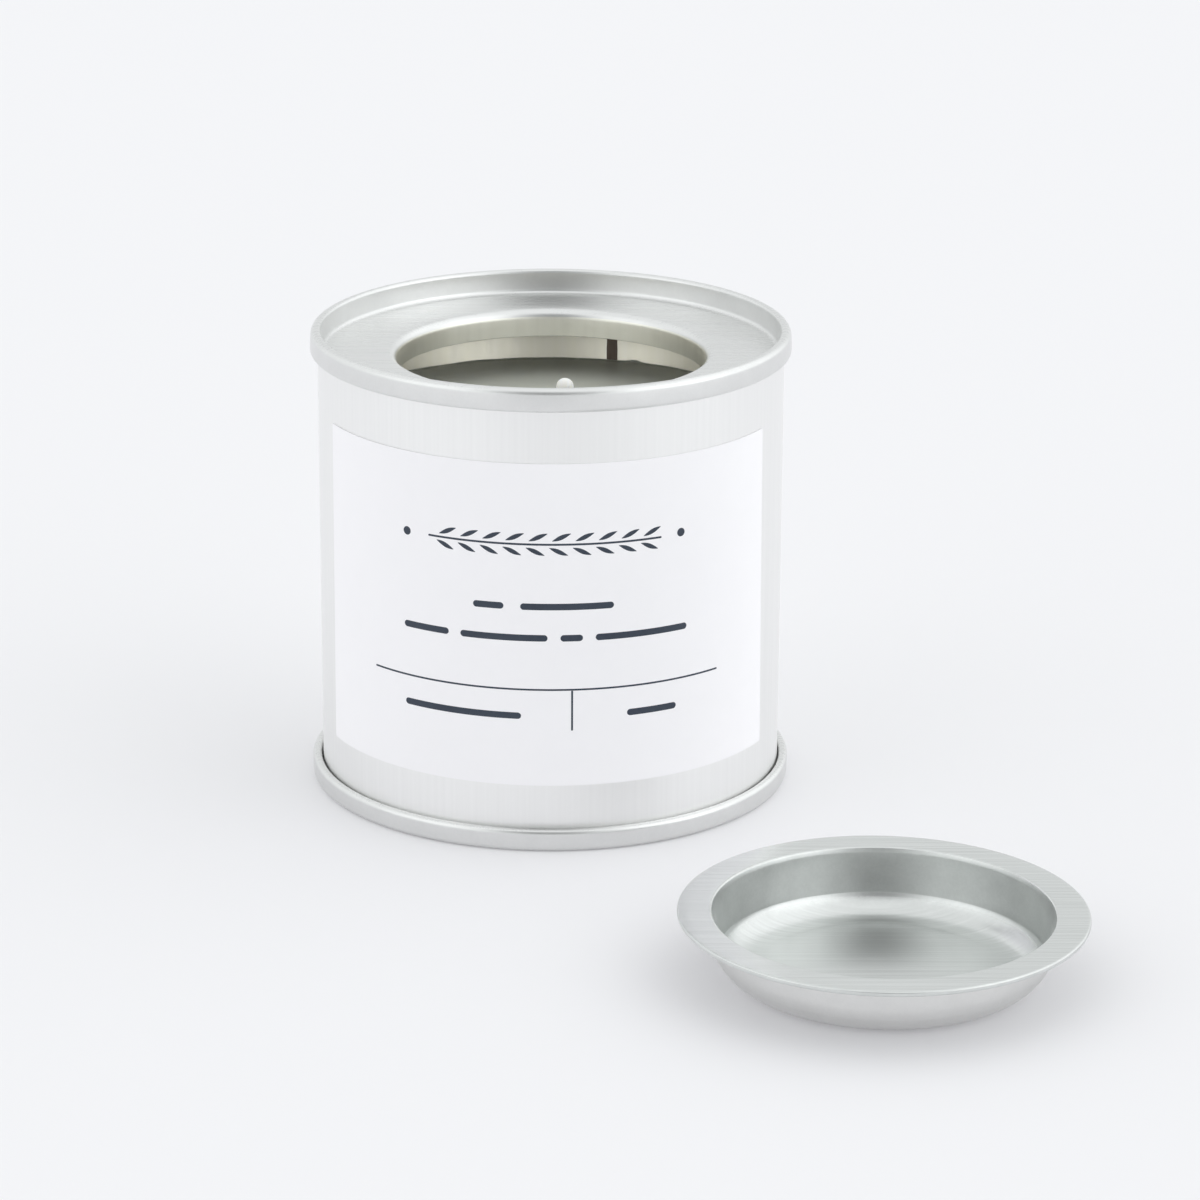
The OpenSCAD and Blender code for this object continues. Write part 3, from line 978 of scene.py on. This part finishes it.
def make_camera():
    """A long lens a little above the tin, looking down on it."""
    turn, dip, roll = (math.radians(a) for a in (CAMERA_TURN, CAMERA_DIP, CAMERA_ROLL))
    ahead = Vector((math.sin(turn) * math.cos(dip), math.cos(turn) * math.cos(dip),
                    -math.sin(dip)))
    level = Vector((math.cos(turn), -math.sin(turn), 0))
    upward = level.cross(ahead)
    right = level * math.cos(roll) + upward * math.sin(roll)
    top = upward * math.cos(roll) - level * math.sin(roll)
    data = bpy.data.cameras.new("camera")
    data.lens = CAMERA_LENS
    data.sensor_width = CAMERA_SENSOR
    data.clip_start, data.clip_end = 0.02, 50
    camera = bpy.data.objects.new("camera", data)
    axes = Matrix((right, top, -ahead)).transposed()
    camera.matrix_world = Matrix.Translation(CAMERA_PLACE) @ axes.to_4x4()
    bpy.context.scene.collection.objects.link(camera)
    bpy.context.scene.camera = camera


def make_floor():
    """A plain pale sweep of floor, lit a little from below so that shadows stay soft."""
    mesh = bmesh.new()
    bmesh.ops.create_grid(mesh, x_segments=8, y_segments=8, size=FLOOR_SIZE / 2)
    floor = link("floor", mesh)
    floor.location.z = -FLOOR_DROP
    made, tree, shader, coordinates = new_material("pale_floor")
    cloud = place(tree, BLOTCH, coordinates, Scale=3.0, Amount=0.6)
    shade = ramp(tree, cloud.outputs["Value"], 0.8, 1.2, 0.0, 1.0)
    tree.links.new(tint(tree, shade, [c * 0.995 for c in FLOOR_TINT], FLOOR_TINT),
                   shader.inputs["Base Color"])
    shader.inputs["Roughness"].default_value = 0.9
    shader.inputs["Specular IOR Level"].default_value = 0.1
    shader.inputs["Emission Color"].default_value = (*FLOOR_GLOW, 1)
    shader.inputs["Emission Strength"].default_value = 1
    floor.data.materials.append(made)


def make_studio():
    """An even white studio: brighter to the sides, dimmer where the camera stands."""
    world = bpy.data.worlds.new("studio")
    bpy.context.scene.world = world
    world.use_nodes = True
    tree = world.node_tree
    tree.nodes.clear()
    direction = add(tree, "ShaderNodeTexCoord").outputs["Generated"]
    level = add(tree, "ShaderNodeValue")
    level.outputs[0].default_value = STUDIO_LEVEL
    total = level.outputs[0]
    for towards, outer, inner, gain in STUDIO_PATCHES:
        facing = add(tree, "ShaderNodeVectorMath", [(0, direction)],
                     {1: Vector(towards).normalized()}, operation="DOT_PRODUCT")
        ends = (math.cos(math.radians(outer)), math.cos(math.radians(inner)), 0.0, gain)
        patch = add(tree, "ShaderNodeMapRange", [(0, facing.outputs["Value"])],
                    dict(enumerate(ends, start=1)), interpolation_type="SMOOTHSTEP")
        total = maths(tree, "ADD", total, patch.outputs[0])
    studio = add(tree, "ShaderNodeBackground", [("Strength", total)],
                 {"Color": (*STUDIO_TINT, 1)})
    backdrop = add(tree, "ShaderNodeBackground", values={"Color": (*BACKDROP, 1)})
    seen = add(tree, "ShaderNodeLightPath")
    mixed = add(tree, "ShaderNodeMixShader",
                [(0, seen.outputs["Is Camera Ray"]), (1, studio.outputs[0]),
                 (2, backdrop.outputs[0])])
    add(tree, "ShaderNodeOutputWorld", [(0, mixed.outputs[0])])
    bpy.context.scene.view_settings.view_transform = "Standard"


make_camera()
make_floor()
make_studio()
make_body_wall()
make_ring()
make_base()
make_lid()
make_side_seam()
make_label()
make_print()
make_wax()
make_wick()
finish_hidden_nodes()
